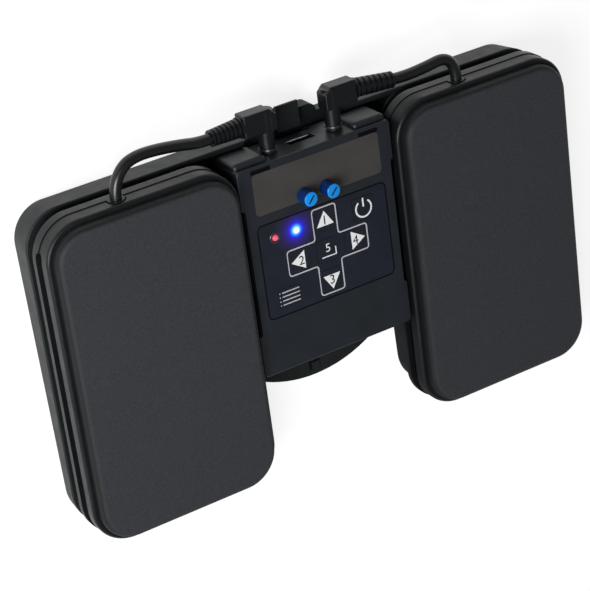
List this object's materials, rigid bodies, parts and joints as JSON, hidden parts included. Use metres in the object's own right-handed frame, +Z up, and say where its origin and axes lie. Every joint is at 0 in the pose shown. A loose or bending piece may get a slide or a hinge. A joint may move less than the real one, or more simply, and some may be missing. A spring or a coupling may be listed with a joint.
{
  "type": "foot pedal switch",
  "caption": "Foot switch with sprung pedals on a board and a slide-out controller between them, with arrow keys, trim knobs, lamps and plugged cords.",
  "frame": {"origin": "centre of the footprint on the floor, measured without the cords and plugs", "axes": "+X to the user's right along the two pedals, +Y to the rear where the cords are, +Z up"},
  "size_m": [0.2676, 0.1714, 0.0421],
  "materials": {
    "black_shell": "satin",
    "pad_rubber": "fine grain, matt",
    "board_black": "satin",
    "foot_rubber": "matt",
    "case_black": "satin",
    "plate_grey": "matt",
    "overlay_black": "fine matt",
    "key_black": "fine matt",
    "knob_blue": "gloss",
    "red_lamp": "clear gloss",
    "blue_lamp": "clear gloss",
    "screw_steel": "plated",
    "board_green": "satin",
    "cell_silver": "satin",
    "socket_steel": "plated",
    "jack_black": "satin",
    "trimmer_blue": "gloss",
    "plug_black": "satin",
    "cord_black": "satin gloss",
    "pin_chrome": "polished",
    "magnet_nickel": "polished",
    "return_rubber": "matt",
    "reed_glass": "clear"
  },
  "bodies": {
    "board": {"board": "board_black", "rubber_feet": "foot_rubber", "board_screws": "screw_steel", "left_riser": "foot_rubber", "left_lower_shell": "black_shell", "left_hinge_pin": "screw_steel", "left_return_blocks": "return_rubber", "left_stops": "return_rubber", "left_sensor_board": "board_green", "left_reed_switch": "reed_glass", "left_cord": "cord_black", "left_plug": "plug_black", "left_plug_pin": "pin_chrome", "left_strain_relief": "plug_black", "right_riser": "foot_rubber", "right_lower_shell": "black_shell", "right_hinge_pin": "screw_steel", "right_return_blocks": "return_rubber", "right_stops": "return_rubber", "right_sensor_board": "board_green", "right_reed_switch": "reed_glass", "right_cord": "cord_black", "right_plug": "plug_black", "right_plug_pin": "pin_chrome", "right_strain_relief": "plug_black"},
    "controller": {"controller_top": "case_black", "controller_bottom": "case_black", "label_plate": "plate_grey", "key_overlay": "overlay_black", "red_led": "red_lamp", "blue_led": "blue_lamp", "circuit_board": "board_green", "battery": "cell_silver", "usb_socket": "socket_steel", "left_jack_socket": "jack_black", "right_jack_socket": "jack_black", "left_trimmer": "trimmer_blue", "right_trimmer": "trimmer_blue", "case_screws": "screw_steel"},
    "left_pedal": {"left_upper_shell": "black_shell", "left_pad": "pad_rubber", "left_magnet": "magnet_nickel"},
    "right_pedal": {"right_upper_shell": "black_shell", "right_pad": "pad_rubber", "right_magnet": "magnet_nickel"},
    "key_1": {"key_1": "key_black"},
    "key_2": {"key_2": "key_black"},
    "key_3": {"key_3": "key_black"},
    "key_4": {"key_4": "key_black"},
    "key_5": {"key_5": "key_black"},
    "key_power": {"key_power": "key_black"},
    "key_menu": {"key_menu": "key_black"},
    "left_knob": {"left_knob": "knob_blue"},
    "right_knob": {"right_knob": "knob_blue"}
  },
  "joints": [
    {"name": "controller_slide", "type": "slide", "parent": "board", "child": "controller", "axis": [0, -0.9987, -0.0509], "range_m": [0, 0.095]},
    {"name": "left_pedal_hinge", "type": "hinge", "parent": "board", "child": "left_pedal", "pos_m": [-0.087, 0.06205, 0.02889], "axis": [1, 0, 0], "range_deg": [0, 1.7], "stiffness_Nm_per_rad": 8, "springref_deg": -1.72, "deforming": ["left_return_blocks"]},
    {"name": "right_pedal_hinge", "type": "hinge", "parent": "board", "child": "right_pedal", "pos_m": [0.087, 0.06205, 0.02889], "axis": [1, 0, 0], "range_deg": [0, 1.7], "stiffness_Nm_per_rad": 8, "springref_deg": -1.72, "deforming": ["right_return_blocks"]},
    {"name": "key_1_press", "type": "slide", "parent": "controller", "child": "key_1", "axis": [0, 0.0509, -0.9987], "range_m": [0, 0.0004], "stiffness_N_per_m": 1500, "springref_m": -0.0003},
    {"name": "key_2_press", "type": "slide", "parent": "controller", "child": "key_2", "axis": [0, 0.0509, -0.9987], "range_m": [0, 0.0004], "stiffness_N_per_m": 1500, "springref_m": -0.0003},
    {"name": "key_3_press", "type": "slide", "parent": "controller", "child": "key_3", "axis": [0, 0.0509, -0.9987], "range_m": [0, 0.0004], "stiffness_N_per_m": 1500, "springref_m": -0.0003},
    {"name": "key_4_press", "type": "slide", "parent": "controller", "child": "key_4", "axis": [0, 0.0509, -0.9987], "range_m": [0, 0.0004], "stiffness_N_per_m": 1500, "springref_m": -0.0003},
    {"name": "key_5_press", "type": "slide", "parent": "controller", "child": "key_5", "axis": [0, 0.0509, -0.9987], "range_m": [0, 0.0004], "stiffness_N_per_m": 1500, "springref_m": -0.0003},
    {"name": "key_power_press", "type": "slide", "parent": "controller", "child": "key_power", "axis": [0, 0.0509, -0.9987], "range_m": [0, 0.0004], "stiffness_N_per_m": 1500, "springref_m": -0.0003},
    {"name": "key_menu_press", "type": "slide", "parent": "controller", "child": "key_menu", "axis": [0, 0.0509, -0.9987], "range_m": [0, 0.0004], "stiffness_N_per_m": 1500, "springref_m": -0.0003},
    {"name": "left_knob_turn", "type": "hinge", "parent": "controller", "child": "left_knob", "pos_m": [-0.0087, 0.04576, 0.03807], "axis": [0, -0.0509, 0.9987], "range_deg": [-135, 135]},
    {"name": "right_knob_turn", "type": "hinge", "parent": "controller", "child": "right_knob", "pos_m": [0.003, 0.04576, 0.03807], "axis": [0, -0.0509, 0.9987], "range_deg": [-135, 135]}
  ]
}
